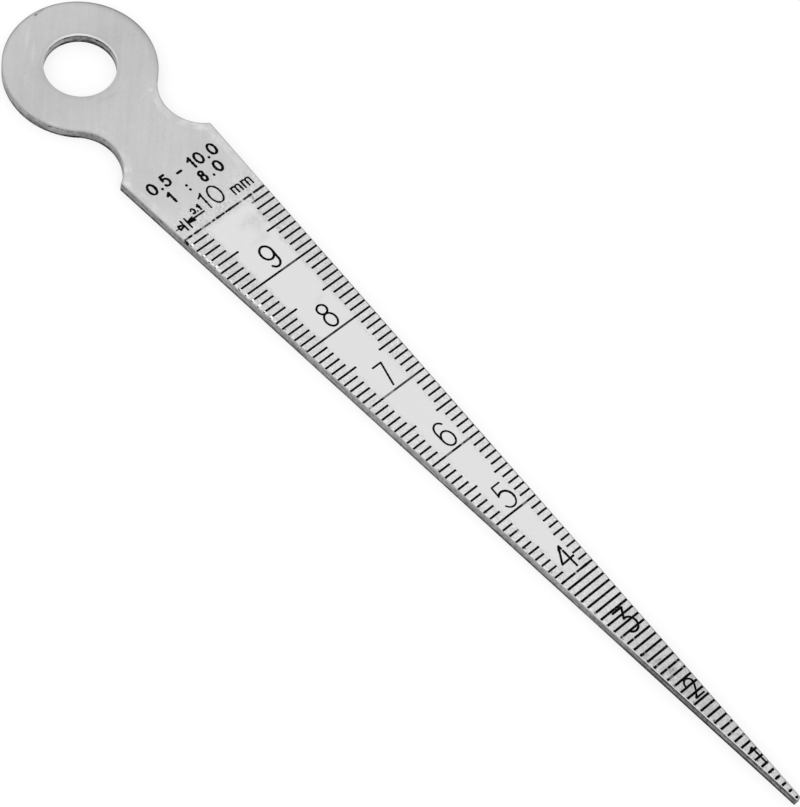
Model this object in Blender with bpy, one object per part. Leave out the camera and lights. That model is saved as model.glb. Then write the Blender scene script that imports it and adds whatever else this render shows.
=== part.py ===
"""Taper gauge: one flat steel wedge with a hanging ring, graduated in tenths of a millimetre.

The blade is as wide at each line as that line reads, so the reading at the mouth of a hole
or a slot is its size. The gauge lies flat on its back. X is the width, Y the length with
the ring at +Y, and the graduated face looks up, along +Z.
"""

import math

import bmesh
import bpy

MM = 0.001

# Plate
THICKNESS = 1.2 * MM
EDGE_BREAK = 0.06 * MM
EDGE_STEPS = 2

# Scale, from the widest reading down to the tip
TOP_READING = 10.0 * MM
LOW_READING = 0.5 * MM
LENGTH_PER_WIDTH = 8.0
LINES_PER_MM = 10
TIP_PAST_LAST_LINE = 0.2 * MM

# Ring that hangs the gauge, and the neck that carries it
RING_RADIUS = 7.45 * MM
RING_ABOVE_TOP_LINE = 20.95 * MM
HOLE_RADIUS = 3.5 * MM
HOLE_RIM = 0.20 * MM
HOLE_RIM_DEPTH = 0.07 * MM
NECK_WIDTH = 6.9 * MM
NECK_ARC_RADIUS = 4.3 * MM

# Engraved lines. Readings under FULL_LINES_UNDER have only full lines, cut bolder, as
# there is no room for a clear field. The ticks above it end at a distance from the middle
# that falls evenly from the top line to the line at FULL_LINES_UNDER.
LINE_WIDTH = 0.21 * MM
LOW_LINE_WIDTH = 0.24 * MM
LINE_DEPTH = 0.05 * MM
LINE_TO_EDGE_BREAK = 0.02 * MM
FULL_LINES_UNDER = 4.0 * MM
SHORT_TICK_END_HIGH = 2.73 * MM
SHORT_TICK_END_LOW = 0.93 * MM
HALF_TICK_END_HIGH = 1.85 * MM
HALF_TICK_END_LOW = 0.81 * MM

# Facets of the round stretches
ARC_STEP = math.radians(3.0)
HOLE_SIDES = 96
SMOOTH_UNDER = math.radians(25.0)

# Finish
STEEL_COLOUR = (0.62, 0.62, 0.61, 1.0)
STEEL_ROUGHNESS = 0.38

# What follows from the sizes above, with the gauge's middle at the origin
SCALE_LENGTH = (TOP_READING - LOW_READING) * LENGTH_PER_WIDTH
LENGTH = RING_RADIUS + RING_ABOVE_TOP_LINE + SCALE_LENGTH + TIP_PAST_LAST_LINE
TIP_Y = -LENGTH / 2
TOP_LINE_Y = TIP_Y + TIP_PAST_LAST_LINE + SCALE_LENGTH
RING_Y = TOP_LINE_Y + RING_ABOVE_TOP_LINE


def clear_scene():
    for obj in list(bpy.data.objects):
        bpy.data.objects.remove(obj, do_unlink=True)


def line_y(reading):
    """Where the line for this reading lies."""
    return TOP_LINE_Y - (TOP_READING - reading) * LENGTH_PER_WIDTH


def half_width(y):
    """Half the blade's width, which is the reading at this place along it."""
    return (TOP_READING + (y - TOP_LINE_Y) / LENGTH_PER_WIDTH) / 2


def arc(centre, radius, start, end):
    """Points along an arc, both ends included."""
    steps = max(2, math.ceil(abs(end - start) / ARC_STEP))
    angles = [start + (end - start) * i / steps for i in range(steps + 1)]
    return [(centre[0] + radius * math.cos(a), centre[1] + radius * math.sin(a)) for a in angles]


def shoulder_angle(centre, radius):
    """Angle on the right neck arc at which it meets the blade's edge, at its lower end."""
    slope = 0.5 / LENGTH_PER_WIDTH
    across = half_width(centre[1]) - centre[0]
    # (across + slope * dy)^2 + dy^2 = radius^2, with dy measured up from the arc's centre
    a = 1 + slope**2
    b = 2 * across * slope
    c = across**2 - radius**2
    dy = (-b - math.sqrt(b**2 - 4 * a * c)) / (2 * a)
    return math.atan2(dy, across + slope * dy) % (2 * math.pi)


def outline():
    """The gauge from above, anticlockwise from the right corner of the tip."""
    neck_x = NECK_WIDTH / 2 + NECK_ARC_RADIUS
    reach = RING_RADIUS + NECK_ARC_RADIUS
    # The neck arc and the ring touch on the line between their centres.
    neck_y = RING_Y - math.sqrt(reach**2 - neck_x**2)
    neck = (neck_x, neck_y)
    touch = math.atan2(neck_y - RING_Y, neck_x)
    shoulder = shoulder_angle(neck, NECK_ARC_RADIUS)
    right_neck = arc(neck, NECK_ARC_RADIUS, shoulder, touch + math.pi)
    right_ring = arc((0.0, RING_Y), RING_RADIUS, touch, math.pi / 2)
    right = [(half_width(TIP_Y), TIP_Y)] + right_neck + right_ring[1:]
    left = [(-x, y) for x, y in reversed(right[:-1])]
    return right + left


def make_object(name, bm):
    mesh = bpy.data.meshes.new(name)
    bmesh.ops.recalc_face_normals(bm, faces=bm.faces)
    bm.to_mesh(mesh)
    bm.free()
    obj = bpy.data.objects.new(name, mesh)
    bpy.context.scene.collection.objects.link(obj)
    return obj


def extrude_outline(bm, points, bottom, top):
    """A prism on this outline."""
    corners = [bm.verts.new((x, y, bottom)) for x, y in points]
    base = bm.faces.new(corners)
    grown = bmesh.ops.extrude_face_region(bm, geom=[base])["geom"]
    upper = [item for item in grown if isinstance(item, bmesh.types.BMVert)]
    bmesh.ops.translate(bm, verts=upper, vec=(0.0, 0.0, top - bottom))


def make_blank():
    """The ground blank: ring, neck and blade in one plate, its edges broken on both faces."""
    bm = bmesh.new()
    extrude_outline(bm, outline(), 0.0, THICKNESS)
    rims = [e for e in bm.edges if abs(e.verts[0].co.z - e.verts[1].co.z) < THICKNESS / 2]
    bmesh.ops.bevel(
        bm,
        geom=rims,
        offset=EDGE_BREAK,
        offset_type="OFFSET",
        segments=EDGE_STEPS,
        profile=0.5,
        affect="EDGES",
    )
    return make_object("gauge_body", bm)


def make_hole_cutter():
    """The hanging hole, turned about its axis, with a shallow dished rim at each face."""
    # Each dish runs on past its face by as much again as it is deep.
    wide = HOLE_RADIUS + 2 * HOLE_RIM
    profile = [
        (wide, -HOLE_RIM_DEPTH),
        (HOLE_RADIUS, HOLE_RIM_DEPTH),
        (HOLE_RADIUS, THICKNESS - HOLE_RIM_DEPTH),
        (wide, THICKNESS + HOLE_RIM_DEPTH),
    ]
    bm = bmesh.new()
    verts = [bm.verts.new((radius, 0.0, z)) for radius, z in profile]
    edges = [bm.edges.new(pair) for pair in zip(verts, verts[1:])]
    bmesh.ops.spin(
        bm,
        geom=verts + edges,
        cent=(0.0, 0.0, 0.0),
        axis=(0.0, 0.0, 1.0),
        angle=2 * math.pi,
        steps=HOLE_SIDES,
        use_merge=True,
    )
    bmesh.ops.holes_fill(bm, edges=[e for e in bm.edges if e.is_boundary])
    cutter = make_object("hole_cutter", bm)
    cutter.location = (0.0, RING_Y, 0.0)
    return cutter


def tick_end(reading, high, low):
    """How far from the middle a tick ends, evenly between the top line and the last tick."""
    share = (reading - FULL_LINES_UNDER) / (TOP_READING - FULL_LINES_UNDER)
    return low + (high - low) * share


def line_spans():
    """Each line's reading, and how far from the middle its two ticks start.

    A start of None is a full line, which runs right across.
    """
    spans = []
    half_step = LINES_PER_MM // 2
    first = round(LOW_READING / MM * LINES_PER_MM)
    last = round(TOP_READING / MM * LINES_PER_MM)
    for count in range(first, last + 1):
        reading = count * MM / LINES_PER_MM
        if count % LINES_PER_MM == 0 or reading < FULL_LINES_UNDER:
            start = None
        elif count % LINES_PER_MM == half_step:
            start = tick_end(reading, HALF_TICK_END_HIGH, HALF_TICK_END_LOW)
        else:
            start = tick_end(reading, SHORT_TICK_END_HIGH, SHORT_TICK_END_LOW)
        spans.append((reading, start))
    return spans


def make_line_cutter():
    """One box for each engraved line, with ends square to it."""
    bm = bmesh.new()
    floor = THICKNESS - LINE_DEPTH
    roof = THICKNESS + LINE_DEPTH
    margin = EDGE_BREAK + LINE_TO_EDGE_BREAK
    for reading, start in line_spans():
        width = LOW_LINE_WIDTH if reading < FULL_LINES_UNDER else LINE_WIDTH
        low_y = line_y(reading) - width / 2
        high_y = line_y(reading) + width / 2
        end = half_width(line_y(reading)) - margin
        if start is None:
            runs = [(-end, end)]
        else:
            runs = [(start, end), (-end, -start)]
        for left, right in runs:
            line = [(left, low_y), (right, low_y), (right, high_y), (left, high_y)]
            extrude_outline(bm, line, floor, roof)
    return make_object("line_cutter", bm)


def cut(obj, cutter):
    """Takes the cutter's shape out of the object, and leaves the cutter as a wire guide."""
    cutter.hide_render = True
    cutter.display_type = "WIRE"
    modifier = obj.modifiers.new(cutter.name, "BOOLEAN")
    modifier.operation = "DIFFERENCE"
    modifier.solver = "EXACT"
    modifier.object = cutter


def steel():
    material = bpy.data.materials.new("satin_steel")
    material.use_nodes = True
    shader = material.node_tree.nodes["Principled BSDF"]
    shader.inputs["Base Color"].default_value = STEEL_COLOUR
    shader.inputs["Metallic"].default_value = 1.0
    shader.inputs["Roughness"].default_value = STEEL_ROUGHNESS
    return material


def main():
    clear_scene()
    gauge = make_blank()
    cut(gauge, make_hole_cutter())
    cut(gauge, make_line_cutter())
    gauge.data.materials.append(steel())
    gauge.data.shade_smooth()
    gauge.data.set_sharp_from_angle(angle=SMOOTH_UNDER)


main()
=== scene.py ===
"""Taper gauge: the looks of one flat steel wedge with a hanging ring.

X is the width, Y the length with the ring at +Y, and the graduated face looks up, along +Z.
Sizes are in millimetres and become metres where a mesh, a lamp or a material takes them.
The steel keeps the solid's shape. Its engraved lines hold a black filling, and the figures
are strokes of the same filling.
"""

import math

import bmesh
import bpy
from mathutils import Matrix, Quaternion, Vector, noise


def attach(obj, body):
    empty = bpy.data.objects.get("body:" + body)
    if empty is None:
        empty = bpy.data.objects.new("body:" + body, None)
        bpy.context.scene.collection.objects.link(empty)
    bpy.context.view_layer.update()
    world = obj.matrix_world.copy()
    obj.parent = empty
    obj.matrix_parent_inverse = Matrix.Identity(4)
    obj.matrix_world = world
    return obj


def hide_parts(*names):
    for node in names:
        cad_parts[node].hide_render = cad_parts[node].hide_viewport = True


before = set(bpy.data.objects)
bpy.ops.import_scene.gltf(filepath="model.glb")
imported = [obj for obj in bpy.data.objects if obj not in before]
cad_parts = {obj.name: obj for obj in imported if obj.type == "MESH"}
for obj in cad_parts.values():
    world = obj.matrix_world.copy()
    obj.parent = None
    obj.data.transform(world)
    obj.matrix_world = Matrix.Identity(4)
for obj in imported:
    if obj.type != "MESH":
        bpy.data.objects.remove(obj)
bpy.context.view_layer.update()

MM = 0.001

# Plate and scale, as the solid has them
THICKNESS = 1.2
TOP_READING = 10.0
TOP_LINE_Y = 23.9
LENGTH_PER_WIDTH = 8.0
LINES_PER_MM = 10
LINE_STEP = LENGTH_PER_WIDTH / LINES_PER_MM
LINE_DEPTH = 0.05
LINE_WIDTH = 0.21
LOW_LINE_WIDTH = 0.24
FULL_LINES_UNDER = 4.0
NECK_ARC_RADIUS = 4.3
NECK_ARC_CENTRE = (7.75, 36.02)
RING_Y = 44.85
RING_RADIUS = 7.45
HOLE_RADIUS = 3.5
RING_FOOT_Y = 39.25

# Half the blade's width at y = 0
HALF_AT_MIDDLE = (TOP_READING - TOP_LINE_Y / LENGTH_PER_WIDTH) / 2

# Meshes
WELD = 0.0005
STROKE_WELD = 0.002
SMOOTH_UNDER = math.radians(12.0)
FLAT_UNDER = math.radians(1.0)
STROKE_SIDES = 2
STROKE_STEP = 0.12
ARC_POINTS = 20

# Share of its reach up to which a spot or a band is whole
SPOT_CORE = 0.1
BAND_CORE = 0.6

# Filling of the lines, and the ridges of filling that the figures are
FILLING_BELOW_FACE = 0.003
FILLING_SPREAD = 0.006
FILLING_ABOVE_FACE = 0.010

# Widths of strokes, and how uneven their edges are
FAINT_STROKE = 0.12
SPECK_STROKE = 0.14
SMALL_STROKE = 0.16
THIN_STROKE = 0.19
STROKE = 0.21
FIRM_STROKE = 0.23
BOLD_STROKE = 0.25
ROW_STROKE = 0.28
EVEN_EDGE = 0.05
RAGGED_EDGE = 0.35

# Camera: the point on the face that it aims at, and how it stands to it
AIM = (-0.842, -1.457, THICKNESS)
CAMERA_DISTANCE = 312.964
CAMERA_HEADING = math.radians(35.69)
CAMERA_DROP = math.radians(60.28)
CAMERA_ROLL = math.radians(13.65)
FOCAL_LENGTH = 153.29
SENSOR_WIDTH = 36.0
CLOSEST_SEEN = 10.0

# Studio
FLOOR_SIZE = 6000.0
FLOOR_BELOW = 0.005
FLOOR_COLOUR = (0.86, 0.86, 0.86, 1.0)
FLOOR_GLOW = 0.7
FLOOR_SHADE = (0.34, 0.34, 0.34, 1.0)
WORLD_LIGHT = 0.8
WHITE = (1.0, 1.0, 1.0, 1.0)


def line_y(reading):
    """Where the line for this reading lies."""
    return TOP_LINE_Y - (TOP_READING - reading) * LENGTH_PER_WIDTH


def activate(obj):
    bpy.ops.object.select_all(action="DESELECT")
    obj.select_set(True)
    bpy.context.view_layer.objects.active = obj


# Shader graphs


class Graph:
    """Short calls that add shader nodes to one tree and join them."""

    def __init__(self, tree):
        self.tree = tree
        self.tree.nodes.clear()

    def add(self, kind, inputs=None, **settings):
        node = self.tree.nodes.new(kind)
        for key, value in settings.items():
            setattr(node, key, value)
        for key, value in (inputs or {}).items():
            self.feed(node.inputs[key], value)
        return node

    def feed(self, socket, value):
        if isinstance(value, bpy.types.NodeSocket):
            self.tree.links.new(value, socket)
        else:
            socket.default_value = value

    def math(self, operation, *values):
        return self.add("ShaderNodeMath", dict(enumerate(values)), operation=operation).outputs[0]

    def product(self, *values):
        result = values[0]
        for value in values[1:]:
            result = self.math("MULTIPLY", result, value)
        return result

    def plus(self, value, share, amount):
        """The value with so much of amount added as share says."""
        return self.math("MULTIPLY_ADD", share, amount, value)

    def fade(self, value, start, end):
        """0 where value is at start, 1 where it is at end, eased between them."""
        inputs = {"Value": value, "From Min": start, "From Max": end}
        node = self.add("ShaderNodeMapRange", inputs, interpolation_type="SMOOTHSTEP")
        return node.outputs["Result"]

    def blend(self, share, first, second):
        """A number between first and second."""
        inputs = {0: share, 2: first, 3: second}
        return self.add("ShaderNodeMix", inputs, data_type="FLOAT").outputs[0]

    def vector(self, operation, *values):
        return self.add("ShaderNodeVectorMath", dict(enumerate(values)), operation=operation)

    def distance(self, place, point):
        return self.vector("DISTANCE", place, (*point, 0.0)).outputs["Value"]

    def clouds(self, place, scale, detail=2.0, roughness=0.5):
        """Cloudy grain about 0, mostly within 0.15 of it, with so many clouds to a unit."""
        inputs = {"Vector": place, "Scale": scale, "Detail": detail, "Roughness": roughness}
        grain = self.add("ShaderNodeTexNoise", inputs).outputs["Fac"]
        return self.math("SUBTRACT", grain, 0.5)

    def turned(self, place, centre, turn, size):
        """Place as seen from centre, turned by so many degrees, in units of size."""
        inputs = {
            "Vector": place,
            "Location": (*centre, 0.0),
            "Rotation": (0.0, 0.0, math.radians(turn)),
            "Scale": size,
        }
        return self.add("ShaderNodeMapping", inputs, vector_type="TEXTURE").outputs["Vector"]

    def drawn(self, place, size, turn=0.0):
        """Place in units of size, along axes turned by so many degrees."""
        return self.turned(place, (0.0, 0.0), turn, size)

    def spot(self, place, centre, reach, turn=0.0):
        """1 at the centre of an ellipse on the face, and 0 at its edge."""
        inside = self.turned(place, centre, turn, (*reach, 1.0))
        return self.fade(self.vector("LENGTH", inside).outputs["Value"], 1.0, SPOT_CORE)

    def band(self, value, middle, reach):
        """1 where value is near middle, and 0 where it is further off than reach."""
        away = self.math("ABSOLUTE", self.math("SUBTRACT", value, middle))
        return self.fade(away, reach, reach * BAND_CORE)

    def ramp(self, value, stops, steps=False):
        """A number that follows value through these stops, each a value and its number."""
        lowest, highest = stops[0][0], stops[-1][0]
        span = highest - lowest
        share = self.math("MULTIPLY_ADD", value, 1 / span, -lowest / span)
        node = self.add("ShaderNodeValToRGB", {"Fac": share})
        node.color_ramp.interpolation = "CONSTANT" if steps else "LINEAR"
        while len(node.color_ramp.elements) < len(stops):
            node.color_ramp.elements.new(0.5)
        for element, (place, number) in zip(node.color_ramp.elements, stops):
            element.position = (place - lowest) / span
            element.color = (number, number, number, 1.0)
        return self.math("ADD", node.outputs["Color"], 0.0)

    def grey(self, value):
        inputs = {"Red": value, "Green": value, "Blue": value}
        return self.add("ShaderNodeCombineColor", inputs).outputs["Color"]


def new_material(name):
    material = bpy.data.materials.new(name)
    material.use_nodes = True
    return material, Graph(material.node_tree)


class Place:
    """Where a shaded point lies on the gauge, in millimetres."""

    def __init__(self, graph):
        coordinates = graph.add("ShaderNodeTexCoord")
        scaled = graph.vector("SCALE", coordinates.outputs["Object"])
        scaled.inputs["Scale"].default_value = 1 / MM
        self.all = scaled.outputs["Vector"]
        parts = graph.add("ShaderNodeSeparateXYZ", {0: self.all}).outputs
        self.x, self.y, self.z = parts[0], parts[1], parts[2]
        self.side = graph.math("ABSOLUTE", self.x)
        self.flat = graph.add("ShaderNodeCombineXYZ", {0: self.x, 1: self.y}).outputs[0]
        self.mirrored = graph.add("ShaderNodeCombineXYZ", {0: self.side, 1: self.y}).outputs[0]
        normal = graph.add("ShaderNodeSeparateXYZ", {0: coordinates.outputs["Normal"]})
        self.facing = normal.outputs[2]

        # How far inside the blade's own edge, the whole outline and the hanging hole
        half = graph.math("MULTIPLY_ADD", self.y, 0.5 / LENGTH_PER_WIDTH, HALF_AT_MIDDLE)
        self.blade_depth = graph.math("SUBTRACT", half, self.side)
        from_arc = graph.distance(self.mirrored, NECK_ARC_CENTRE)
        neck = graph.math("SUBTRACT", from_arc, NECK_ARC_RADIUS)
        below_ring = graph.math("SUBTRACT", RING_FOOT_Y, self.y)
        lower = graph.math("MINIMUM", graph.math("MINIMUM", neck, self.blade_depth), below_ring)
        from_ring = graph.distance(self.flat, (0.0, RING_Y))
        ring = graph.math("SUBTRACT", RING_RADIUS, from_ring)
        self.depth = graph.math("MAXIMUM", ring, lower)
        self.from_hole = graph.math("SUBTRACT", from_ring, HOLE_RADIUS)

        # How far from the ring's centre, along the fixed direction that the painted light and
        # shade on the ring follow
        from_centre = graph.turned(self.all, (0.0, RING_Y), RING_PAINTED_LIGHT_TURN, (1.0, 1.0, 1.0))
        self.across_ring = graph.add("ShaderNodeSeparateXYZ", {0: from_centre}).outputs[0]

        # How far from the nearest engraved line, along the gauge
        steps = graph.math("MULTIPLY_ADD", self.y, -1 / LINE_STEP, TOP_LINE_Y / LINE_STEP)
        self.from_line = graph.product(graph.math("PINGPONG", steps, 0.5), LINE_STEP)


# Steel

# Tone of the face along the gauge, partly the steel's own finish and partly painted light and
# shade: place along Y, and how light
FACE_TONES_AND_PAINTED_LIGHT = (
    (-52.3, 0.58),
    (-49.7, 0.62),
    (-46.5, 0.565),
    (-43.3, 0.56),
    (-38.5, 0.50),
    (-35.3, 0.55),
    (-27.3, 0.66),
    (-13.7, 0.71),
    (2.3, 0.69),
    (18.3, 0.62),
    (23.5, 0.64),
    (26.3, 0.63),
    (28.0, 0.60),
    (31.0, 0.575),
    (36.0, 0.572),
    (39.5, 0.562),
    (44.85, 0.52),
    (50.2, 0.557),
    (52.3, 0.56),
)

# Tone of the outer wall and of the hole's wall by height, and of the outer wall along Y: partly
# the ground walls' own darker tone and partly painted light and shade, with painted shade at the
# foot
WALL_TONES_AND_PAINTED_LIGHT = (
    (0.0, 0.05),
    (0.22, 0.06),
    (0.38, 0.19),
    (0.5, 0.25),
    (0.7, 0.265),
    (1.0, 0.29),
    (1.2, 0.32),
)
HOLE_WALL_TONES_AND_PAINTED_LIGHT = (
    (0.0, 0.04),
    (0.3, 0.05),
    (0.45, 0.16),
    (0.6, 0.25),
    (0.85, 0.24),
    (1.0, 0.16),
    (1.08, 0.09),
    (1.2, 0.18),
)
WALL_ALONG = (
    (-52.3, 0.68),
    (-36.0, 0.68),
    (-26.0, 1.0),
    (3.0, 1.15),
    (20.0, 1.0),
    (38.0, 1.0),
    (41.0, 1.15),
    (45.0, 1.3),
    (52.3, 1.3),
)

# A direction across the ring, in degrees from +X, along which light and shade are painted on
# the ring. It is fixed on the part, and it is the heading that the photo was taken along, as
# the tones below were set from what the rims and the hole's wall show from there. The tone
# of the ring's own rim (painted shade), of the hole's rim (painted highlight and shade) and
# of the hole's wall (painted light and shade) follows the place along it, from the ring's
# centre: how much lighter, and for the wall by what its tone is multiplied.
RING_PAINTED_LIGHT_TURN = 35.69
HOLE_RIM_PAINTED_LIGHT = ((-4.0, -0.04), (0.0, 0.0), (2.0, 0.11), (4.0, 0.13))
HOLE_WALL_PAINTED_LIGHT = ((2.2, 1.75), (2.6, 1.35), (3.2, 1.08), (3.5, 1.0))

# Broken edges, darker than the face with painted shade, lighter near the tip, and darkest on the
# right and at the foot
EDGE_PAINTED_SHADE = 0.36
TIP_EDGE_TONE = 0.6
RIGHT_EDGE_PAINTED_SHADE = 0.15
FOOT_EDGE_PAINTED_SHADE = 0.04

# Where filling ran over the left edge, under the top line, and how far it reaches
EDGE_BLOT = (-5.0, 23.52)
EDGE_BLOT_REACH = (0.24, 0.36)
EDGE_BLOT_HEIGHT = (0.85, 1.05)
EDGE_BLOT_EDGE = (0.1, 0.4)

# Marks on the face: middle, reach, turn in degrees, and how much lighter or darker
FACE_MARKS = (
    ((0.37, 51.94), (0.30, 0.16), 10.0, -0.42),
    ((0.95, 51.97), (0.75, 0.18), 3.0, -0.20),
    ((-1.9, 50.4), (1.9, 0.30), 47.0, 0.07),
    ((-2.6, 48.7), (1.9, 0.25), 47.0, 0.07),
    ((-4.9, 47.0), (1.6, 0.35), 47.0, 0.05),
    ((-0.1, 40.4), (1.5, 0.35), -8.0, -0.05),
    ((-1.05, 40.7), (0.8, 0.4), 0.0, -0.04),
    ((3.49, 38.6), (0.5, 0.3), -50.0, 0.09),
    ((4.05, 33.56), (1.1, 0.5), -50.0, 0.07),
    ((4.58, 32.29), (0.9, 0.6), -50.0, 0.07),
    ((4.66, 30.51), (0.6, 1.4), 5.0, 0.06),
    ((-4.3, 33.3), (0.5, 1.2), 25.0, 0.07),
    ((-5.1, 31.9), (0.4, 0.7), 20.0, 0.10),
    ((-6.35, 41.38), (0.9, 0.5), -40.0, 0.06),
    ((2.03, 21.3), (2.0, 1.2), 0.0, -0.09),
    ((1.37, 21.95), (1.3, 0.9), 0.0, -0.07),
    ((0.33, 21.7), (0.9, 0.7), 0.0, -0.06),
    ((1.4, 20.1), (1.0, 1.4), 0.0, -0.06),
    ((0.43, 19.62), (1.4, 0.6), 0.0, -0.05),
    ((0.71, 11.4), (1.1, 0.45), 20.0, -0.05),
    ((3.15, 23.5), (0.16, 0.5), -25.0, -0.35),
    ((2.82, 19.55), (0.30, 0.22), 0.0, -0.25),
    ((3.3, 19.36), (0.18, 0.10), 0.0, 0.25),
    ((2.87, -9.3), (0.12, 1.3), -3.6, -0.35),
    ((0.1, -33.9), (0.55, 0.3), 0.0, -0.14),
    ((-1.0, -34.0), (0.6, 0.3), 0.0, -0.20),
    ((-0.43, -35.0), (0.8, 0.3), 0.0, -0.20),
    ((-0.1, -36.44), (0.8, 0.35), 0.0, -0.20),
    ((0.87, -36.5), (0.25, 0.2), 0.0, 0.25),
)

# Pairs that say where a share is 0 and where it is 1, or for a band its middle and its
# reach. Along Y:
SCALE_TOP = (27.4, 25.2)
FIELD_TOP = (TOP_LINE_Y - 0.1, TOP_LINE_Y - 0.8)
FIELD_FOOT = (-24.1, -22.1)
LITTER_TOP = (TOP_LINE_Y, TOP_LINE_Y - 0.4)
THICK_LITTER = (8.0, 13.0)
NECK_FOOT = (24.0, 29.0)
NECK_TOP = (40.5, 37.0)
ABOVE_TIP = (-20.0, -10.0)
BELOW_SHOULDER = (18.0, 12.0)
RING_FOOT = (38.0, 41.0)
RING_MIDDLE = (42.0, 45.0)
TIP_EDGE = (-22.0, -30.0)
TIP_WALL = (-30.0, -36.0)
UPPER_BLADE = (0.0, 12.0)

# Across, along X and along the ring's direction:
LEFT_HALF = (0.0, -0.1)
RIGHT_HALF = (0.0, 0.1)
RING_RIGHT = (3.0, 6.5)
RING_BEYOND = (-3.5, 1.0)

# In from the blade's edge, the outline or the hole:
LITTER_DEPTH = (0.42, 0.3)
BURR_DEPTH = (0.33, 0.22)
RIM_DEPTH = (0.22, 0.02)
RIGHT_RIM_DEPTH = (0.16, 0.04)
RING_RIM_DEPTH = (0.38, 0.05)
RING_SIDE_DEPTH = (0.9, 0.1)
EDGE_DEPTH = (0.12, 0.08)
HOLE_SURROUND = (0.6, 0.25)
HOLE_DISH = (0.26, 0.2)
HOLE_WALL = (1.0, 0.5)
NECK_BAND = (0.45, 0.45)

# By height over the back:
WALL_TOP = (0.7, 0.95)
TIP_WALL_FOOT = (0.42, 0.3)
TIP_WALL_BAND = (0.95, 0.18)
EDGE_FOOT = (0.5, 0.3)

# By how far the surface faces up, 1 on the face and 0 on a wall:
FACING_UP = (0.0, 0.5)
DISHED = (0.99, 0.96)
BEVELLED = (0.97, 0.90)
UPRIGHT = (0.35, 0.15)

# Grain: clouds to a millimetre, detail and roughness. Where a size is given, the clouds are
# drawn out to it, and they lie along a turn in degrees.
CLOUDS = (3.5, 4.0, 0.6)
BLOTCHES = (0.55, 2.0, 0.5)
SPECKLE = (5.5, 1.0, 0.5)
RAGGED_SIDE = (0.9, 3.0, 0.5)
CRUMBS = (4.2, 2.0, 0.6)
PATCHES = (0.8, 3.0, 0.5)
MOTTLE = (2.4, 3.0, 0.6)
SHADES = (0.35, 1.0, 0.5)
SPECKS = (3.6, 2.0, 0.5)
STREAKS = (1.0, 3.0, 0.6)
STREAK_SIZE = (7.0, 0.5, 0.5)
STREAK_TURN = 47.0
SHREDS = (1.0, 2.0, 0.6)
SHRED_SIZE = (0.13, 0.45, 1.0)
SHRED_TURN = -3.6
GRINDING = (1.0, 3.0, 0.6)
GRINDING_SIZE = (0.7, 0.7, 0.12)
SCRATCHES = (1.0, 2.0, 0.5)
SCRATCH_SIZE = (1.5, 5.0, 0.3)

# Which part of a grain shows: where its share is 0 and where it is 1
MARK_GRAIN = (-0.3, 0.1)
PATCH_GRAIN = (-0.15, 0.15)
SHRED_GRAIN = (-0.02, 0.08)
CRUMB_GRAIN = (-0.07, -0.13)
SPECK_GRAIN = (0.05, 0.12)

# Clear field between the ticks: how light it is and how much of the grain it loses, and its
# side edge, which follows the reading and is ragged
FIELD_TONE = 0.74
FIELD_SMOOTHNESS = 0.93
FIELD_SIDE_PER_MM = 0.30
FIELD_SIDE_AT_ZERO = -0.42
FIELD_SIDE = (-0.25, 0.3)
FIELD_SIDE_RAGGED = 0.9

# How much each of these adds to the tone
CLOUDS_ADD = 0.10
BLOTCHES_ADD = 0.06
STREAKS_ADD = 0.09
SPECKLE_ADD = 0.45
# Bright burrs along the left edge, partly a painted glint
BURRS_AND_PAINTED_GLINT_ADD = 0.35
CRUMBS_ADD = -0.5
NECK_BAND_ADD = 0.07
# These five add painted shade: at the rims of the face, on the right and next to the hole
RIM_PAINTED_SHADE = -0.15
RIGHT_RIM_PAINTED_SHADE = -0.25
RING_RIM_PAINTED_SHADE = -0.12
RING_SIDE_PAINTED_SHADE = -0.08
HOLE_SURROUND_PAINTED_SHADE = -0.03
TIP_WALL_ADD = -0.12
GRINDING_ADD = 0.3
SCRATCHES_ADD = 0.4
MOTTLE_ADD = 0.45
SHADES_ADD = 0.25
SPECKS_ADD = -0.18

# The darkest tone that a wall has under its specks
DARKEST_WALL = 0.01

# Litter: share of the burrs below the part where it is thick, and how near a line crumbs lie
FEWER_BURRS = 0.4
BESIDE_LINE = (0.34, 0.2)

# Roughness and relief of the steel
STEEL_ROUGHNESS = 0.38
CLOUDS_ROUGHNESS = 0.25
WALL_ROUGHNESS = 0.15
CLOUDS_RELIEF = 0.5
STEEL_RELIEF = 0.12
STEEL_RELIEF_DEPTH = 0.02


def scale_field(graph, at):
    """1 in the clear field between the ticks, ragged beside them, and 0 outside it."""
    side_per_y = FIELD_SIDE_PER_MM / LENGTH_PER_WIDTH
    side_at_middle = FIELD_SIDE_AT_ZERO + 2 * HALF_AT_MIDDLE * FIELD_SIDE_PER_MM
    field_side = graph.math("MULTIPLY_ADD", at.y, side_per_y, side_at_middle)
    inside = graph.math("SUBTRACT", field_side, at.side)
    inside = graph.plus(inside, graph.clouds(at.all, *RAGGED_SIDE), FIELD_SIDE_RAGGED)
    return graph.product(
        graph.fade(inside, *FIELD_SIDE),
        graph.fade(at.y, *FIELD_TOP),
        graph.fade(at.y, *FIELD_FOOT),
        graph.fade(at.facing, *FACING_UP),
    )


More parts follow.
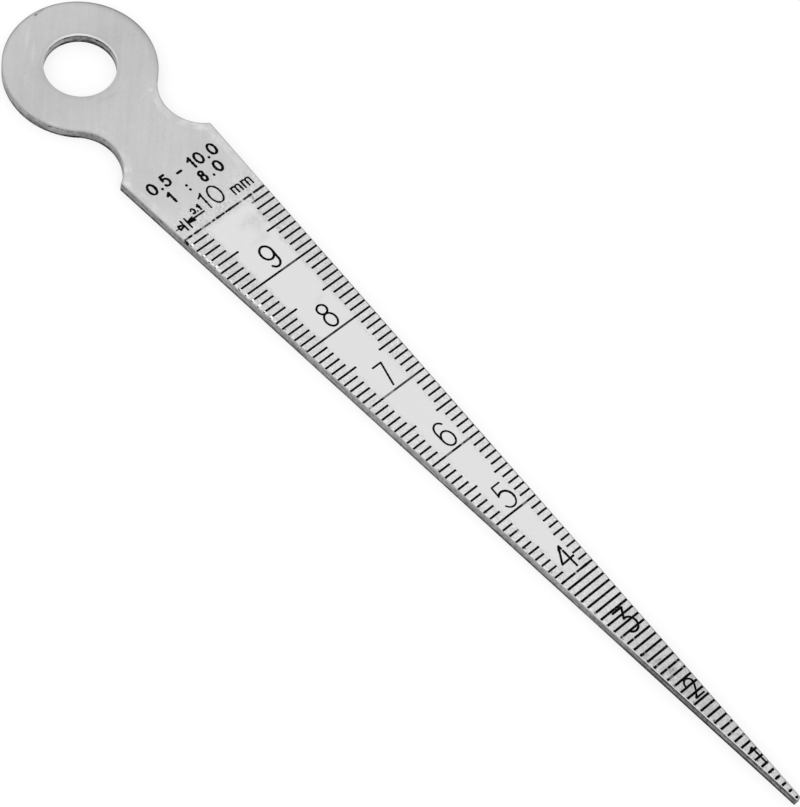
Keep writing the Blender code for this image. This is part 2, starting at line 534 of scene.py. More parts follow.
def with_litter(graph, at, tone, scale_part):
    """The tone with bright burrs, partly a painted glint, and dark crumbs of filling along the
    left edge.
    """
    left_edge = graph.product(
        scale_part,
        graph.fade(at.x, *LEFT_HALF),
        graph.fade(at.blade_depth, *LITTER_DEPTH),
        graph.fade(at.y, *LITTER_TOP),
    )
    drawn_out = graph.drawn(at.all, SHRED_SIZE, SHRED_TURN)
    burrs = graph.product(
        left_edge,
        graph.fade(at.blade_depth, *BURR_DEPTH),
        graph.blend(graph.fade(at.y, *THICK_LITTER), FEWER_BURRS, 1.0),
        graph.fade(graph.clouds(drawn_out, *SHREDS), *SHRED_GRAIN),
    )
    crumbs = graph.product(
        left_edge,
        graph.fade(at.from_line, *BESIDE_LINE),
        graph.fade(graph.clouds(at.all, *CRUMBS), *CRUMB_GRAIN),
    )
    tone = graph.plus(tone, burrs, BURRS_AND_PAINTED_GLINT_ADD)
    return graph.plus(tone, crumbs, CRUMBS_ADD)


def with_rims(graph, at, tone):
    """The tone with a lighter band along neck and shoulder, and painted shade at the face's rims
    and next to the hole.
    """
    neck_band = graph.product(
        graph.band(at.depth, *NECK_BAND),
        graph.product(graph.fade(at.y, *NECK_FOOT), graph.fade(at.y, *NECK_TOP)),
        graph.fade(graph.clouds(at.all, *PATCHES), *PATCH_GRAIN),
    )
    tone = graph.plus(tone, neck_band, NECK_BAND_ADD)
    rim = graph.product(graph.fade(at.depth, *RIM_DEPTH), graph.fade(at.y, *ABOVE_TIP))
    tone = graph.plus(tone, rim, RIM_PAINTED_SHADE)
    right_rim = graph.product(
        graph.fade(at.x, *RIGHT_HALF),
        graph.fade(at.blade_depth, *RIGHT_RIM_DEPTH),
        graph.fade(at.y, *BELOW_SHOULDER),
    )
    tone = graph.plus(tone, right_rim, RIGHT_RIM_PAINTED_SHADE)
    ring_rim = graph.product(
        graph.fade(at.depth, *RING_RIM_DEPTH),
        graph.fade(at.y, *RING_MIDDLE),
        graph.fade(at.across_ring, *RING_BEYOND),
    )
    tone = graph.plus(tone, ring_rim, RING_RIM_PAINTED_SHADE)
    ring_side = graph.product(
        graph.fade(at.depth, *RING_SIDE_DEPTH),
        graph.product(graph.fade(at.x, *RING_RIGHT), graph.fade(at.y, *RING_FOOT)),
    )
    tone = graph.plus(tone, ring_side, RING_SIDE_PAINTED_SHADE)
    return graph.plus(tone, graph.fade(at.from_hole, *HOLE_SURROUND), HOLE_SURROUND_PAINTED_SHADE)


def face_tone(graph, at, clouds, streaks):
    """Satin face: light in the scale's clear middle, cloudy, streaked and a little stained, with
    painted light and shade along it and at its rims.
    """
    field = scale_field(graph, at)
    tone = graph.blend(field, graph.ramp(at.y, FACE_TONES_AND_PAINTED_LIGHT), FIELD_TONE)

    # Grain all over, and a coarser speckle beside the lines
    rough_part = graph.math("MULTIPLY_ADD", field, -FIELD_SMOOTHNESS, 1.0)
    blotches = graph.clouds(at.all, *BLOTCHES)
    tone = graph.plus(tone, graph.product(clouds, rough_part), CLOUDS_ADD)
    tone = graph.plus(tone, graph.product(blotches, rough_part), BLOTCHES_ADD)
    tone = graph.plus(tone, graph.product(streaks, rough_part), STREAKS_ADD)
    scale_part = graph.product(
        rough_part,
        graph.fade(at.y, *SCALE_TOP),
        graph.fade(at.facing, *FACING_UP),
    )
    speckle = graph.clouds(at.all, *SPECKLE)
    tone = graph.plus(tone, graph.product(speckle, scale_part), SPECKLE_ADD)

    tone = with_litter(graph, at, tone, scale_part)
    for centre, reach, turn, change in FACE_MARKS:
        mark = graph.spot(at.flat, centre, reach, turn)
        tone = graph.plus(tone, graph.product(mark, graph.fade(clouds, *MARK_GRAIN)), change)
    return with_rims(graph, at, tone)


def wall_tone(graph, at):
    """Ground walls: flat grey with grinding marks, painted light and shade by height, painted
    shade at the foot, and darker towards the tip.
    """
    outer = graph.product(graph.ramp(at.z, WALL_TONES_AND_PAINTED_LIGHT), graph.ramp(at.y, WALL_ALONG))
    near_tip = graph.fade(at.y, *TIP_WALL)
    tip_dark_band = graph.product(near_tip, graph.band(at.z, *TIP_WALL_BAND))
    outer = graph.plus(outer, tip_dark_band, TIP_WALL_ADD)
    # Painted shade at the foot of the wall near the tip
    tip_foot_painted_shade = graph.product(near_tip, graph.fade(at.z, *TIP_WALL_FOOT))
    outer = graph.plus(outer, tip_foot_painted_shade, TIP_WALL_ADD)
    around = graph.ramp(at.across_ring, HOLE_WALL_PAINTED_LIGHT)
    inner = graph.product(graph.ramp(at.z, HOLE_WALL_TONES_AND_PAINTED_LIGHT), around)
    tone = graph.blend(graph.fade(at.from_hole, *HOLE_WALL), outer, inner)

    grinding = graph.clouds(graph.drawn(at.all, GRINDING_SIZE), *GRINDING)
    scratches = graph.clouds(graph.drawn(at.all, SCRATCH_SIZE), *SCRATCHES)
    shades = graph.product(graph.clouds(at.all, *SHADES), near_tip)
    tone = graph.plus(tone, grinding, GRINDING_ADD)
    tone = graph.plus(tone, scratches, SCRATCHES_ADD)
    tone = graph.plus(tone, graph.clouds(at.all, *MOTTLE), MOTTLE_ADD)
    tone = graph.plus(tone, shades, SHADES_ADD)
    tone = graph.math("MAXIMUM", tone, DARKEST_WALL)

    # Dark specks along the top of the blade's and the ring's wall
    specks = graph.fade(graph.clouds(at.all, *SPECKS), *SPECK_GRAIN)
    upper = graph.product(graph.fade(at.z, *WALL_TOP), graph.fade(at.y, *UPPER_BLADE))
    return graph.plus(tone, graph.product(specks, upper), SPECKS_ADD)


def with_broken_edges(graph, at, steep, tone):
    """The tone with a painted highlight and shade on the hole's dish, and painted shade on the
    outer edge, which is darkest on the right and at the foot and lighter near the tip.
    """
    # Painted highlight and shade on the hole's dish
    dish = graph.product(graph.fade(at.from_hole, *HOLE_DISH), graph.fade(steep, *DISHED))
    tone = graph.plus(tone, dish, graph.ramp(at.across_ring, HOLE_RIM_PAINTED_LIGHT))
    # Painted shade on the outer edge
    painted_edge_tone = graph.blend(graph.fade(at.y, *TIP_EDGE), EDGE_PAINTED_SHADE, TIP_EDGE_TONE)
    on_right = graph.product(graph.fade(at.x, *RIGHT_HALF), graph.fade(at.y, *BELOW_SHOULDER))
    painted_edge_tone = graph.blend(on_right, painted_edge_tone, RIGHT_EDGE_PAINTED_SHADE)
    painted_edge_tone = graph.blend(graph.fade(at.z, *EDGE_FOOT), painted_edge_tone, FOOT_EDGE_PAINTED_SHADE)
    edge = graph.product(graph.fade(steep, *BEVELLED), graph.fade(at.depth, *EDGE_DEPTH))
    return graph.blend(edge, tone, painted_edge_tone)


def satin_steel():
    """The body's steel, with its tone on the face, the broken edges and the walls, partly painted
    light and shade.
    """
    material, graph = new_material("satin_steel_finish")
    at = Place(graph)
    clouds = graph.clouds(at.all, *CLOUDS)
    streaks = graph.clouds(graph.drawn(at.all, STREAK_SIZE, STREAK_TURN), *STREAKS)
    steep = graph.math("ABSOLUTE", at.facing)
    tone = with_broken_edges(graph, at, steep, face_tone(graph, at, clouds, streaks))
    wall = graph.fade(steep, *UPRIGHT)
    tone = graph.blend(wall, tone, wall_tone(graph, at))
    blot = graph.product(
        graph.spot(at.flat, EDGE_BLOT, EDGE_BLOT_REACH),
        graph.fade(at.z, *EDGE_BLOT_HEIGHT),
    )
    tone = graph.blend(graph.fade(blot, *EDGE_BLOT_EDGE), tone, FILLING_TONE)

    roughness = graph.plus(STEEL_ROUGHNESS, clouds, CLOUDS_ROUGHNESS)
    roughness = graph.plus(roughness, wall, WALL_ROUGHNESS)
    bump = graph.add("ShaderNodeBump", {
        "Strength": STEEL_RELIEF,
        "Distance": STEEL_RELIEF_DEPTH * MM,
        "Height": graph.plus(streaks, clouds, CLOUDS_RELIEF),
    })
    shader = graph.add("ShaderNodeBsdfPrincipled", {
        "Base Color": graph.grey(tone),
        "Metallic": 1.0,
        "Roughness": roughness,
        "Normal": bump.outputs["Normal"],
    })
    graph.add("ShaderNodeOutputMaterial", {"Surface": shader.outputs[0]})
    return material


# Filling

FILLING_TONE = 0.001
WORN_TONE = 0.57
# Bare steel at the worn-back left ends of the lines, made lighter by a painted highlight of the
# edge
BARE_END_AND_PAINTED_HIGHLIGHT = 0.97
FILLING_GLOSS = 0.03
FILLING_ROUGHNESS = 0.6
FILLING_RELIEF = 0.3
FILLING_RELIEF_DEPTH = 0.01

# Its grain: clouds to a millimetre, detail and roughness, and what it adds
FILLING_GRAIN = (6.0, 3.0, 0.6)
FILLING_GRAIN_PART = (-0.1, 0.4)
FILLING_GRAIN_TONE = 0.004
FILLING_GRAIN_ROUGHNESS = 0.2

# Grain of its wear in the same terms, and which part of it shows. The dashes of the top line
# are drawn out to a size.
RAGGED_WEAR = (3.0, 3.0, 0.6)
FINE_WEAR = (9.0, 2.0, 0.6)
DASHES = (1.0, 2.0, 0.6)
DASH_SIZE = (0.55, 0.3, 1.0)
DASH_GRAIN = (-0.04, 0.14)
LIGHT_WEAR_GRAIN = (0.10, 0.30)
STRETCH_GRAIN = (-0.35, 0.05)

# Share worn all over, on the top line, at the right ends of the lowest lines and at the
# lines' uneven sides
LIGHT_WEAR = 0.12
TOP_LINE_WEAR = 0.08
LOW_END_WEAR = 0.9
SIDE_WEAR = 0.7

# Stretches of the long lines that are worn thin: reading, middle, reach, share worn
WORN_STRETCHES = (
    (10.0, -4.65, 0.25, 0.25),
    (10.0, -3.87, 0.14, 0.8),
    (10.0, -2.65, 0.25, 0.5),
    (10.0, -2.1, 0.5, 0.12),
    (10.0, -1.65, 0.15, 0.85),
    (10.0, -1.12, 0.08, 0.9),
    (10.0, 0.03, 0.08, 0.7),
    (10.0, 1.85, 0.2, 0.35),
    (10.0, 2.17, 0.19, 0.9),
    (10.0, 3.46, 0.10, 0.95),
    (9.9, -2.75, 0.2, 0.5),
    (9.9, 2.78, 0.24, 0.6),
    (9.0, 1.0, 1.1, 0.16),
    (8.0, -1.1, 0.6, 0.12),
    (8.0, 0.7, 1.2, 0.08),
    (7.0, -3.2, 0.22, 0.7),
    (7.0, -1.0, 0.8, 0.40),
    (7.0, 0.8, 2.0, 0.10),
    (6.0, -0.85, 0.5, 0.28),
    (6.0, 0.8, 0.18, 0.4),
    (6.0, 1.4, 0.4, 0.15),
    (5.0, 1.1, 0.35, 0.30),
    (4.8, -1.2, 0.25, 0.5),
    (4.0, -0.1, 0.13, 0.65),
    (3.5, -1.6, 0.15, 0.7),
    (3.1, -1.25, 0.15, 0.35),
    (3.0, -0.58, 0.10, 0.5),
    (2.8, -0.8, 0.12, 0.2),
    (2.6, -0.8, 0.12, 0.3),
    (2.5, -0.3, 0.12, 0.3),
    (2.5, 0.86, 0.12, 0.15),
    (2.4, -0.6, 0.3, 0.28),
    (2.4, 0.85, 0.12, 0.35),
    (2.3, -1.0, 0.12, 0.35),
    (1.6, 0.42, 0.1, 0.3),
    (1.5, -0.2, 0.1, 0.35),
    (1.4, 0.45, 0.15, 0.4),
    (1.3, 0.6, 0.1, 0.4),
)
STRETCH_REACH = 0.35
TOP_LINE_REACH = 0.3

# How far the left ends of the lines are worn back from the edge, from the top line down, and
# how wide a dot is left at the very edge
WORN_BACK = (
    0.05, 0.45, 0.05, 0.42, 0.42, 0.5, 0.2, 0.05,
    0.12, 0.32, 0.4, 0.42, 0.55, 0.33, 0.42, 0.12,
)
EDGE_DOTS = (0.14, 0.20)
WORN_END_EDGE = (0.0, 0.06)
BELOW_TOP_SIGNS = (TOP_LINE_Y + 0.4, TOP_LINE_Y + 0.3)

# Which right ends of lines are worn: from this far right, this near the edge, and under
# these readings
LOW_END_SIDE = (0.0, 0.05)
LOW_END_DEPTH = (0.19, 0.11)
LOW_END_READINGS = (1.05, 0.95)

# How uneven the sides of the lines are, and of the top line, and how near its own middle a
# line's side is looked for. Figures stand higher than the filling of a line, and are spared.
SIDE_UNEVEN = 0.12
TOP_LINE_UNEVEN = 0.16
SIDE_EDGE = (-0.01, 0.01)
ON_LINE = (0.3, 0.2)
LINE_FILLING_TOP = (1.206, 1.204)
BOLDER_BELOW = 0.1


def worn_stretches(graph, at, ragged):
    """Share of the filling that is worn off the long lines."""
    wear = graph.product(graph.fade(ragged, *LIGHT_WEAR_GRAIN), LIGHT_WEAR)
    for reading, middle, reach, share in WORN_STRETCHES:
        here = graph.product(
            graph.band(at.y, line_y(reading), STRETCH_REACH),
            graph.band(at.x, middle, reach),
            graph.fade(ragged, *STRETCH_GRAIN),
        )
        wear = graph.plus(wear, here, share)
    dashes = graph.clouds(graph.drawn(at.all, DASH_SIZE), *DASHES)
    top_line = graph.product(
        graph.band(at.y, TOP_LINE_Y, TOP_LINE_REACH),
        graph.fade(dashes, *DASH_GRAIN),
    )
    return graph.plus(wear, top_line, TOP_LINE_WEAR)


def worn_left_ends(graph, at):
    """1 where the left ends of the lines are worn back to a dot at the very edge."""
    stops = []
    for number, back in enumerate(WORN_BACK):
        stops.insert(0, (TOP_LINE_Y - (number + 0.5) * LINE_STEP, back))
    stops.append((stops[-1][0] + LINE_STEP, 0.0))
    worn_back = graph.ramp(at.y, stops, steps=True)
    return graph.product(
        graph.fade(at.x, *LEFT_HALF),
        graph.fade(at.blade_depth, *EDGE_DOTS),
        graph.fade(graph.math("SUBTRACT", worn_back, at.blade_depth), *WORN_END_EDGE),
        graph.fade(at.y, *BELOW_TOP_SIGNS),
    )


def worn_low_ends(graph, at):
    """1 at the right ends of the lowest lines."""
    first, last = LOW_END_READINGS
    return graph.product(
        graph.fade(at.x, *LOW_END_SIDE),
        graph.fade(at.blade_depth, *LOW_END_DEPTH),
        graph.fade(at.y, line_y(first), line_y(last)),
    )


def uneven_sides(graph, at):
    """1 just past the sides of each line, which are a little uneven."""
    on_top_line = graph.band(at.y, TOP_LINE_Y, TOP_LINE_REACH)
    unevenness = graph.blend(on_top_line, SIDE_UNEVEN, TOP_LINE_UNEVEN)
    side = graph.plus(at.from_line, graph.clouds(at.all, *FINE_WEAR), unevenness)
    last_thin_y = line_y(FULL_LINES_UNDER)
    low = graph.fade(at.y, last_thin_y, last_thin_y - BOLDER_BELOW)
    half = graph.blend(low, LINE_WIDTH / 2 + FILLING_SPREAD, LOW_LINE_WIDTH / 2 + FILLING_SPREAD)
    return graph.product(
        graph.fade(graph.math("SUBTRACT", side, half), *SIDE_EDGE),
        graph.fade(at.from_line, *ON_LINE),
        graph.fade(at.z, *LINE_FILLING_TOP),
    )


def black_filling():
    """Black filling: dull, a little uneven, and worn through to the steel in places, with a
    painted highlight on the steel at the worn-back left ends.
    """
    material, graph = new_material("black_filling_finish")
    at = Place(graph)
    wear = worn_stretches(graph, at, graph.clouds(at.all, *RAGGED_WEAR))
    left_ends = worn_left_ends(graph, at)
    wear = graph.math("MAXIMUM", wear, left_ends)
    low_ends = graph.product(worn_low_ends(graph, at), LOW_END_WEAR)
    wear = graph.math("MAXIMUM", wear, low_ends)
    sides = graph.product(uneven_sides(graph, at), SIDE_WEAR)
    wear = graph.math("MAXIMUM", wear, sides)

    grain = graph.clouds(at.all, *FILLING_GRAIN)
    whole = graph.plus(FILLING_TONE, graph.fade(grain, *FILLING_GRAIN_PART), FILLING_GRAIN_TONE)
    tone = graph.blend(wear, whole, graph.blend(left_ends, WORN_TONE, BARE_END_AND_PAINTED_HIGHLIGHT))
    bump = graph.add("ShaderNodeBump", {
        "Strength": FILLING_RELIEF,
        "Distance": FILLING_RELIEF_DEPTH * MM,
        "Height": grain,
    })
    shader = graph.add("ShaderNodeBsdfPrincipled", {
        "Base Color": graph.grey(tone),
        "Metallic": wear,
        "Roughness": graph.plus(FILLING_ROUGHNESS, grain, FILLING_GRAIN_ROUGHNESS),
        "Specular IOR Level": FILLING_GLOSS,
        "Normal": bump.outputs["Normal"],
    })
    graph.add("ShaderNodeOutputMaterial", {"Surface": shader.outputs[0]})
    return material


def dress(piece, material):
    piece.data.materials.clear()
    piece.data.materials.append(material)
    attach(piece, "root")


# Steel body and the filling of its lines


def make_steel_body():
    """The solid's own shape, its triangles merged so that the round walls shade smoothly."""
    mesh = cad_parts["gauge_body"].data.copy()
    body = bpy.data.objects.new("steel_body", mesh)
    bpy.context.scene.collection.objects.link(body)
    activate(body)
    bpy.ops.mesh.customdata_custom_splitnormals_clear()
    bpy.ops.object.mode_set(mode="EDIT")
    bpy.ops.mesh.select_all(action="SELECT")
    bpy.ops.mesh.remove_doubles(threshold=WELD * MM)
    bpy.ops.object.mode_set(mode="OBJECT")
    bpy.ops.object.shade_smooth_by_angle(angle=SMOOTH_UNDER)
    return body


def make_line_filling(body):
    """The floors of the engraved lines, grown up and spread a little over the lines' rims."""
    filling = bpy.data.objects.new("line_filling", body.data.copy())
    bpy.context.scene.collection.objects.link(filling)
    activate(filling)
    floor = (THICKNESS - LINE_DEPTH) * MM
    bpy.ops.object.mode_set(mode="EDIT")
    mesh = bmesh.from_edit_mesh(filling.data)
    for face in mesh.faces:
        on_floor = abs(face.calc_center_median().z - floor) < WELD * MM
        face.select_set(not on_floor)
    bmesh.update_edit_mesh(filling.data)
    bpy.ops.mesh.delete(type="FACE")
    bpy.ops.mesh.select_all(action="SELECT")
    bpy.ops.mesh.dissolve_limited(angle_limit=FLAT_UNDER)
    rise = (LINE_DEPTH - FILLING_BELOW_FACE) * MM
    bpy.ops.mesh.extrude_region_move(TRANSFORM_OT_translate={"value": (0.0, 0.0, rise)})
    bpy.ops.mesh.select_all(action="SELECT")
    bpy.ops.mesh.normals_make_consistent(inside=False)
    # A box's corner moves by the diagonal, so that each of its sides moves by the spread
    bpy.ops.transform.shrink_fatten(value=FILLING_SPREAD * math.sqrt(3) * MM)
    bpy.ops.object.mode_set(mode="OBJECT")
    bpy.ops.object.shade_flat()
    return filling


# Figures


def sweep(centre, radii, start, end):
    """Points along an ellipse, with its angles in degrees, anticlockwise from +X."""
    points = []
    for step in range(ARC_POINTS + 1):
        angle = math.radians(start + (end - start) * step / ARC_POINTS)
        x = centre[0] + radii[0] * math.cos(angle)
        y = centre[1] + radii[1] * math.sin(angle)
        points.append((x, y))
    return points


def loop(centre, radii):
    return sweep(centre, radii, 90, 450)


# Each figure's strokes, for a figure one unit high whose foot is at zero
FIGURES = {
    "0": [loop((0.0, 0.5), (0.3, 0.5))],
    "1": [[(-0.24, 0.77), (-0.1, 0.86), (0.0, 1.0)], [(0.0, 1.0), (0.0, 0.0)]],
    "2": [
        sweep((0.0, 0.714), (0.24, 0.286), 180, 0),
        [(0.24, 0.714), (0.15, 0.54), (0.01, 0.3), (-0.245, 0.0)],
        [(-0.245, 0.0), (0.24, 0.0)],
    ],
    "3": [
        [(-0.21, 1.0), (0.21, 1.0)],
        [(0.21, 1.0), (-0.035, 0.61)],
        sweep((0.0, 0.308), (0.264, 0.308), 98, -140),
    ],
    "4": [
        [(0.09, 1.0), (-0.31, 0.36)],
        [(-0.31, 0.36), (0.265, 0.38)],
        [(0.093, 0.76), (0.093, 0.0)],
    ],
    "5": [
        [(-0.17, 1.0), (0.18, 1.0)],
        [(-0.17, 1.0), (-0.205, 0.6)],
        sweep((-0.02, 0.34), (0.272, 0.34), 136, -150),
    ],
    "6": [
        sweep((0.0, 0.686), (0.23, 0.314), 35, 180) + [(-0.23, 0.34)],
        loop((0.0, 0.31), (0.23, 0.31)),
    ],
    "7": [[(-0.2, 1.0), (0.205, 1.0)], [(0.205, 1.0), (-0.055, 0.0)]],
    "8": [loop((0.008, 0.795), (0.19, 0.205)), loop((0.0, 0.29), (0.22, 0.29))],
    "9": [
        loop((0.0, 0.688), (0.242, 0.312)),
        [(0.242, 0.69)] + sweep((-0.008, 0.288), (0.222, 0.288), 10, -147),
    ],
    "m": [
        [(-0.55, 1.0), (-0.55, 0.0)],
        sweep((-0.275, 0.68), (0.275, 0.3), 180, 0) + [(0.0, 0.0)],
        sweep((0.275, 0.68), (0.275, 0.3), 180, 0) + [(0.55, 0.0)],
    ],
    ".": [[(0.0, 0.02), (0.0, 0.06)]],
    ":": [[(0.0, 0.12), (0.0, 0.16)], [(0.0, 0.62), (0.0, 0.66)]],
    "-": [[(-0.2, 0.45), (0.2, 0.45)]],
}

# Scale figures: figure, middle in X, foot from the top line (down is negative), height, stroke
SCALE_FIGURES = (
    ("9", 0.18, -7.48, 2.52, BOLD_STROKE),
    ("8", 0.14, -15.55, 2.57, FIRM_STROKE),
    ("7", 0.165, -23.51, 2.45, STROKE),
    ("6", 0.2, -31.58, 2.6, STROKE),
    ("5", 0.21, -39.6, 2.6, THIN_STROKE),
    ("4", 0.25, -47.55, 2.46, FIRM_STROKE),
    ("3", 0.16, -55.55, 2.5, BOLD_STROKE),
    ("2", 0.2, -63.67, 1.92, STROKE),
)


def placed(figure, middle, foot, height):
    """A figure's strokes at their place on the face, measured from the top line."""
    return [
        [(middle + px * height, TOP_LINE_Y + foot + py * height) for px, py in stroke]
        for stroke in FIGURES[figure]
    ]


def row(text, middle, foot, height, pitch, stroke):
    """Figures in a row, centred on middle."""
    strokes = []
    for place, figure in enumerate(text):
        if figure == " ":
            continue
        offset = (place - (len(text) - 1) / 2) * pitch
        strokes += [(points, stroke) for points in placed(figure, middle + offset, foot, height)]
    return strokes


def evened(points):
    """The same line with points about a stroke step apart."""
    result = []
    for start, end in zip(points, points[1:]):
        first, last = Vector(start), Vector(end)
        parts = max(1, round((last - first).length / STROKE_STEP))
        result += [first.lerp(last, part / parts) for part in range(parts)]
    return [*result, Vector(points[-1])]


# Share of the stroke's half width, at the share of it past the stroke's end
ROUND_END = ((1.0, 0.02), (0.87, 0.5), (0.5, 0.87), (0.0, 1.0))
RAGGED_PER_MM = 4.0


def rounded(points, half, raggedness):
    """The stroke's points with their widths, run past both ends so that they come out round."""
    points = evened(points)
    first, last = points[0], points[-1]
    back = (first - points[1]).normalized() * half
    on = (last - points[-2]).normalized() * half
    head = [(first + back * past, half * share) for past, share in ROUND_END]
    body = [
        (point, half * (1 + raggedness * noise.noise(point.to_3d() * RAGGED_PER_MM)))
        for point in points[1:-1]
    ]
    tail = [(last + on * past, half * share) for past, share in reversed(ROUND_END)]
    return head + body + tail


def make_strokes(name, strokes, raggedness):
    """Ridges of filling, half sunk in the face."""
    curve = bpy.data.curves.new(name, "CURVE")
    curve.dimensions = "3D"
    curve.bevel_depth = MM
    curve.bevel_resolution = STROKE_SIDES
    for points, width in strokes:
        course = rounded(points, width / 2, raggedness)
        spline = curve.splines.new("POLY")
        spline.points.add(len(course) - 1)
        for point, (place, radius) in zip(spline.points, course):
            point.co = (place.x * MM, place.y * MM, 0.0, 1.0)
            point.radius = radius
    marks = bpy.data.objects.new(name, curve)
    bpy.context.scene.collection.objects.link(marks)
    activate(marks)
    bpy.ops.object.convert(target="MESH")
    bpy.ops.object.mode_set(mode="EDIT")
    bpy.ops.mesh.select_all(action="SELECT")
    bpy.ops.mesh.remove_doubles(threshold=STROKE_WELD * MM)
    flat = FILLING_ABOVE_FACE / (STROKE / 2)
    bpy.ops.transform.resize(value=(1.0, 1.0, flat), center_override=(0.0, 0.0, 0.0))
    bpy.ops.transform.translate(value=(0.0, 0.0, THICKNESS * MM))
    bpy.ops.mesh.normals_make_consistent(inside=False)
    bpy.ops.object.mode_set(mode="OBJECT")
    bpy.ops.object.shade_smooth()
    return marks


def line(start, end, width):
    """A straight stroke, with its ends measured from the top line."""
    return ([(start[0], TOP_LINE_Y + start[1]), (end[0], TOP_LINE_Y + end[1])], width)


def bow(centre, radii, start, end, width):
    """A stroke along an ellipse, with its centre measured from the top line."""
    return (sweep((centre[0], TOP_LINE_Y + centre[1]), radii, start, end), width)


def scale_figures():
    """The scale's figures with their heavier stretches, and the lowest with its flag filled in."""
    strokes = []
    for figure, middle, foot, height, stroke in SCALE_FIGURES:
        strokes += [(points, stroke) for points in placed(figure, middle, foot, height)]
    return [
        *strokes,
        line((0.0, -14.05), (0.3, -14.05), BOLD_STROKE),
        bow((0.16, -38.71), (0.71, 0.88), 120, -15, BOLD_STROKE),
        line((0.18, -45.45), (0.46, -45.12), BOLD_STROKE),
        line((0.44, -45.15), (0.48, -45.42), BOLD_STROKE),
        line((0.48, -45.7), (0.48, -46.3), BOLD_STROKE),
        line((0.62, -62.25), (0.66, -62.38), ROW_STROKE),
        line((-0.12, -63.5), (-0.25, -63.64), BOLD_STROKE),
        line((0.19, -72.0), (0.19, -70.2), STROKE),
        line((-0.2, -70.36), (0.16, -70.17), BOLD_STROKE),
        line((0.0, -70.32), (0.17, -70.28), BOLD_STROKE),
    ]


def division_sign():
    """The top figure and its unit, and two arrows that point at one division's two lines."""
    strokes = row("mm", 3.25, 0.88, 0.82, 1.25, STROKE)
    strokes += [(points, STROKE) for points in placed("0", 0.65, 1.08, 2.01)]
    strokes += [(points, BOLD_STROKE) for points in placed("1", -1.465, 1.67, 0.57)]
    return strokes + [
        line((-0.59, 1.2), (-0.57, 1.8), THIN_STROKE),
        line((-0.57, 1.8), (-0.55, 2.75), STROKE),
        line((-0.55, 2.75), (-0.47, 3.02), STROKE),
        line((-0.68, 2.82), (-0.5, 3.0), STROKE),
        line((-0.92, 2.68), (-0.68, 2.81), STROKE),
        bow((-2.23, 1.95), (0.18, 0.28), 150, -120, STROKE),
        line((-2.33, 1.73), (-2.2, 1.7), BOLD_STROKE),
        line((-1.85, 1.69), (-1.85, 1.71), THIN_STROKE),
        line((-3.89, 0.65), (-3.89, 1.83), STROKE),
        line((-3.42, 0.65), (-3.42, 1.83), STROKE),
        line((-4.85, 1.28), (-4.55, 1.28), FAINT_STROKE),
        line((-4.42, 1.5), (-4.0, 1.38), BOLD_STROKE),
        line((-4.42, 1.07), (-4.0, 1.2), BOLD_STROKE),
        line((-4.46, 1.15), (-4.46, 1.42), STROKE),
        line((-3.35, 1.33), (-1.4, 1.33), STROKE),
        line((-3.33, 1.38), (-2.72, 1.51), STROKE),
        line((-3.33, 1.22), (-2.66, 1.10), BOLD_STROKE),
    ]


def range_figures():
    """Plain figures under the shoulder: the readings' range, and the taper."""
    readings = row("0.5 - 10.0", 0.0, 5.5, 1.2, 0.82, ROW_STROKE)
    return readings + row("1 : 8.0", 0.1, 3.75, 1.15, 0.94, ROW_STROKE)


# Bold dashes of the top line, from and to, and the lowest lines with filling heaped on them,
# which stops short of their left and right ends
TOP_LINE_DASHES = (
    (-4.35, -4.15),
    (-3.65, -3.25),
    (-0.95, -0.6),
    (0.5, 1.1),
    (2.95, 3.2),
    (3.68, 4.78),
)
HEAPED_READINGS = (1.0, 0.9, 0.8, 0.7, 0.6, 0.5)
HEAP_SHORT_LEFT = 0.17
HEAP_SHORT_RIGHT = 0.3


def edge_blots():
    """Filling that ran over the rims of lines, over the edge, and past the ends of some lines."""
    dashes = [line((start, 0.0), (end, 0.0), ROW_STROKE) for start, end in TOP_LINE_DASHES]
    heaps = []
    for reading in HEAPED_READINGS:
        foot = line_y(reading) - TOP_LINE_Y
        left = HEAP_SHORT_LEFT - reading / 2
        right = reading / 2 - HEAP_SHORT_RIGHT
        heaps.append(line((left, foot), (right, foot), ROW_STROKE))
    return dashes + heaps + [
        line((-4.90, -0.08), (-4.92, -0.52), THIN_STROKE),
        line((-4.87, -0.25), (-4.89, -0.48), BOLD_STROKE),
        line((-1.75, -48.0), (-0.3, -48.0), BOLD_STROKE),
        line((0.05, -48.0), (1.75, -48.0), BOLD_STROKE),
        line((-1.22, -57.56), (-1.12, -57.55), ROW_STROKE),
        line((0.80, -56.78), (0.86, -56.82), SMALL_STROKE),
        line((0.56, -67.08), (0.60, -67.1), SPECK_STROKE),
        line((0.48, -68.70), (0.52, -68.74), SPECK_STROKE),
    ]


# Studio


def direction(heading, height):
    """A step of one towards this heading, from +X, and this height, both in radians."""
    across = math.cos(height)
    return Vector((across * math.cos(heading), across * math.sin(heading), math.sin(height)))


def place_camera():
    data = bpy.data.cameras.new("camera")
    data.sensor_width = SENSOR_WIDTH
    data.lens = FOCAL_LENGTH
    data.clip_start = CLOSEST_SEEN * MM
    camera = bpy.data.objects.new("camera", data)
    bpy.context.scene.collection.objects.link(camera)
    looking = direction(CAMERA_HEADING, -CAMERA_DROP)
    camera.location = (Vector(AIM) - looking * CAMERA_DISTANCE) * MM
    camera.rotation_mode = "QUATERNION"
    roll = Quaternion((0.0, 0.0, 1.0), CAMERA_ROLL)
    camera.rotation_quaternion = looking.to_track_quat("-Z", "Y") @ roll
    bpy.context.scene.camera = camera


def seen_directly(graph):
    """1 for the camera and for what metal or glass shows of the surroundings."""
    path = graph.add("ShaderNodeLightPath").outputs
    seen = graph.math("MAXIMUM", path["Is Camera Ray"], path["Is Glossy Ray"])
    return graph.math("MAXIMUM", seen, path["Is Transmission Ray"])


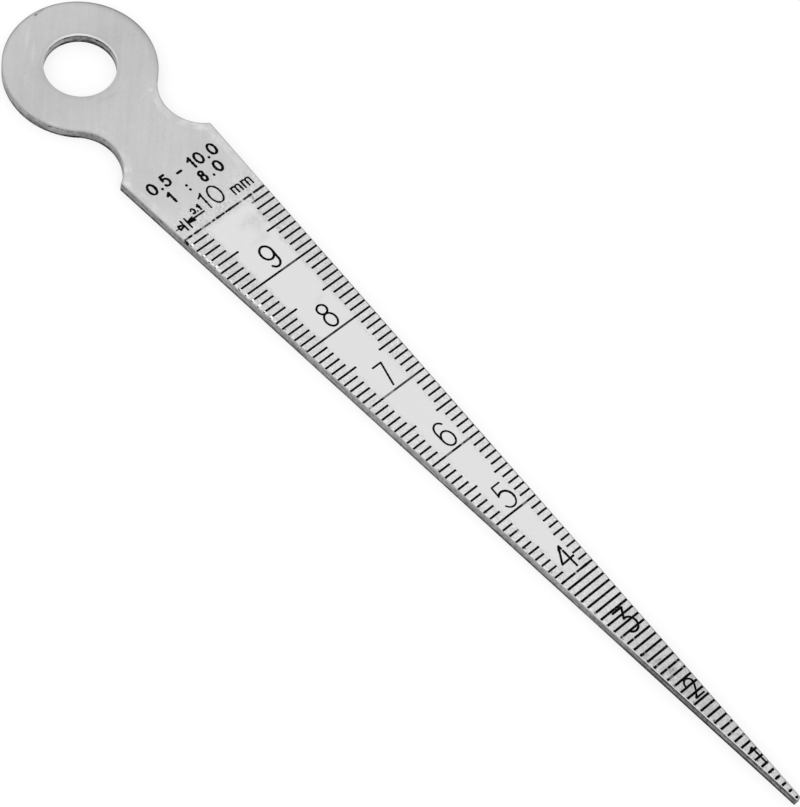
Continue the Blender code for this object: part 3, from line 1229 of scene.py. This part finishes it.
def make_floor():
    bpy.ops.object.select_all(action="DESELECT")
    bpy.ops.mesh.primitive_plane_add(size=FLOOR_SIZE * MM, location=(0.0, 0.0, -FLOOR_BELOW * MM))
    floor = bpy.context.object
    floor.name = "floor"
    material, graph = new_material("white_paper")
    lit = graph.add("ShaderNodeBsdfDiffuse", {"Color": FLOOR_COLOUR})
    glow = graph.add("ShaderNodeEmission", {"Strength": FLOOR_GLOW})
    shade = graph.add("ShaderNodeBsdfDiffuse", {"Color": FLOOR_SHADE})
    seen = graph.add("ShaderNodeAddShader", {0: glow.outputs[0], 1: shade.outputs[0]})
    mixed = graph.add(
        "ShaderNodeMixShader",
        {0: seen_directly(graph), 1: lit.outputs[0], 2: seen.outputs[0]},
    )
    graph.add("ShaderNodeOutputMaterial", {"Surface": mixed.outputs[0]})
    floor.data.materials.append(material)


def light_world():
    world = bpy.data.worlds.new("studio")
    bpy.context.scene.world = world
    world.use_nodes = True
    graph = Graph(world.node_tree)
    light = graph.add("ShaderNodeBackground", {"Color": WHITE, "Strength": WORLD_LIGHT})
    white = graph.add("ShaderNodeBackground", {"Color": WHITE, "Strength": 1.0})
    mixed = graph.add(
        "ShaderNodeMixShader",
        {0: seen_directly(graph), 1: light.outputs[0], 2: white.outputs[0]},
    )
    graph.add("ShaderNodeOutputWorld", {"Surface": mixed.outputs[0]})


# Lamps: name, heading from the gauge in degrees, height in degrees, distance, size, watts
LAMPS = (
    ("key_lamp", 190.0, 38.0, 900.0, 600.0, 1.2),
    ("top_lamp", 245.0, 66.0, 900.0, 600.0, 0.8),
)


def hang_lamps():
    for name, heading, height, distance, size, watts in LAMPS:
        data = bpy.data.lights.new(name, "AREA")
        data.shape = "DISK"
        data.size = size * MM
        data.energy = watts
        lamp = bpy.data.objects.new(name, data)
        bpy.context.scene.collection.objects.link(lamp)
        away = direction(math.radians(heading), math.radians(height))
        lamp.location = away * distance * MM
        lamp.rotation_mode = "QUATERNION"
        lamp.rotation_quaternion = (-away).to_track_quat("-Z", "Y")


def main():
    bpy.context.scene.view_settings.view_transform = "Standard"
    place_camera()
    steel = satin_steel()
    filling = black_filling()
    body = make_steel_body()
    dress(body, steel)
    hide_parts("gauge_body")
    dress(make_line_filling(body), filling)
    dress(make_strokes("scale_figures", scale_figures(), EVEN_EDGE), filling)
    dress(make_strokes("division_sign", division_sign(), RAGGED_EDGE), filling)
    dress(make_strokes("range_figures", range_figures(), RAGGED_EDGE), filling)
    dress(make_strokes("edge_blots", edge_blots(), RAGGED_EDGE), filling)
    make_floor()
    light_world()
    hang_lamps()


main()
